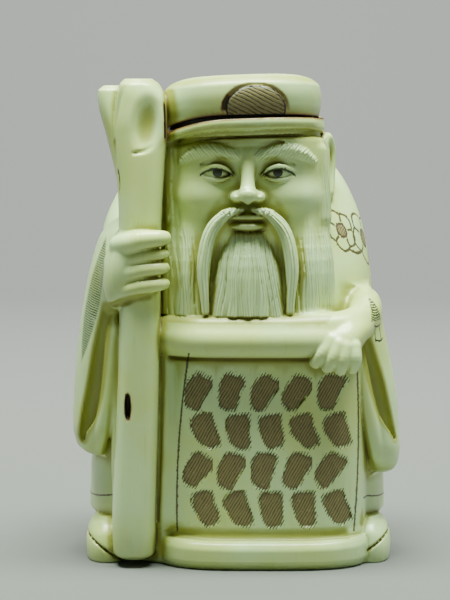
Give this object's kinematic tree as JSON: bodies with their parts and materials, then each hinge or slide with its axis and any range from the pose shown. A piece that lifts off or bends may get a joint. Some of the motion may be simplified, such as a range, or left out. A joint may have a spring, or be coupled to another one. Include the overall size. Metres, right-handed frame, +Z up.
{
  "type": "bone netsuke",
  "caption": "Carved bone toggle: an old bearded man with a forked staff holding an open scroll, drilled at the back for a cord.",
  "frame": {"origin": "centre of the flat underside, which the figure stands on", "axes": "+Z up; the figure looks along -Y, with its staff on the -X side"},
  "size_m": [0.034, 0.0282, 0.0503],
  "materials": {
    "bone": "polished bone, stained olive brown in its recesses"
  },
  "bodies": {
    "root": {"bone_netsuke": "bone"}
  },
  "joints": []
}
